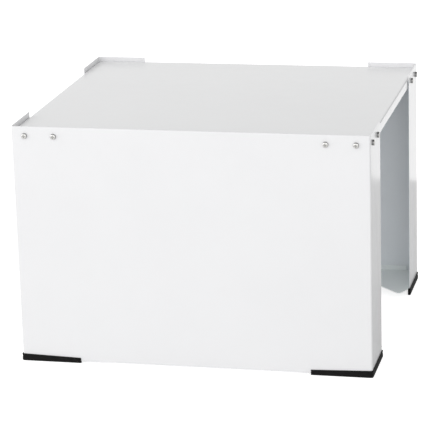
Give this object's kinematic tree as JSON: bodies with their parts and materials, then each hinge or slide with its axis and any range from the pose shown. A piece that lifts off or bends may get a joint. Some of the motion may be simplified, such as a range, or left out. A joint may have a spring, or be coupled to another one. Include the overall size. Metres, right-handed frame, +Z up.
{
  "type": "washing machine pedestal",
  "caption": "Steel stand that raises a washing machine or dryer, with a flat lipped top, closed front and back, open ends and rubber corner feet.",
  "frame": {"origin": "on the floor under the middle of the stand", "axes": "+X to the right along the 600 mm panels, towards an open end; +Y to the back, where the lip is cut away; +Z up"},
  "size_m": [0.608, 0.548, 0.41],
  "materials": {
    "white_coat": "semi-gloss white powder coat on folded sheet steel",
    "black_rubber": "matt black moulded rubber",
    "zinc_screw": "bright zinc-plated pan heads with a cross recess",
    "zinc_nut": "zinc-plated weld nuts"
  },
  "bodies": {
    "root": {"front_panel": "white_coat", "back_panel": "white_coat", "top_tray": "white_coat", "end_rail_left": "white_coat", "end_rail_right": "white_coat", "stiffener_left": "white_coat", "stiffener_right": "white_coat", "corner_gusset_front_left": "white_coat", "corner_gusset_front_right": "white_coat", "corner_gusset_back_left": "white_coat", "corner_gusset_back_right": "white_coat", "rubber_foot_front_left": "black_rubber", "rubber_foot_front_right": "black_rubber", "rubber_foot_back_left": "black_rubber", "rubber_foot_back_right": "black_rubber", "screw_front_left_1": "zinc_screw", "screw_front_left_2": "zinc_screw", "screw_front_left_3": "zinc_screw", "screw_front_left_4": "zinc_screw", "screw_front_right_1": "zinc_screw", "screw_front_right_2": "zinc_screw", "screw_front_right_3": "zinc_screw", "screw_front_right_4": "zinc_screw", "screw_back_left_1": "zinc_screw", "screw_back_left_2": "zinc_screw", "screw_back_left_3": "zinc_screw", "screw_back_left_4": "zinc_screw", "screw_back_right_1": "zinc_screw", "screw_back_right_2": "zinc_screw", "screw_back_right_3": "zinc_screw", "screw_back_right_4": "zinc_screw", "weld_nut_front_left_1": "zinc_nut", "weld_nut_front_left_2": "zinc_nut", "weld_nut_front_left_3": "zinc_nut", "weld_nut_front_left_4": "zinc_nut", "weld_nut_front_right_1": "zinc_nut", "weld_nut_front_right_2": "zinc_nut", "weld_nut_front_right_3": "zinc_nut", "weld_nut_front_right_4": "zinc_nut", "weld_nut_back_left_1": "zinc_nut", "weld_nut_back_left_2": "zinc_nut", "weld_nut_back_left_3": "zinc_nut", "weld_nut_back_left_4": "zinc_nut", "weld_nut_back_right_1": "zinc_nut", "weld_nut_back_right_2": "zinc_nut", "weld_nut_back_right_3": "zinc_nut", "weld_nut_back_right_4": "zinc_nut"}
  },
  "joints": []
}
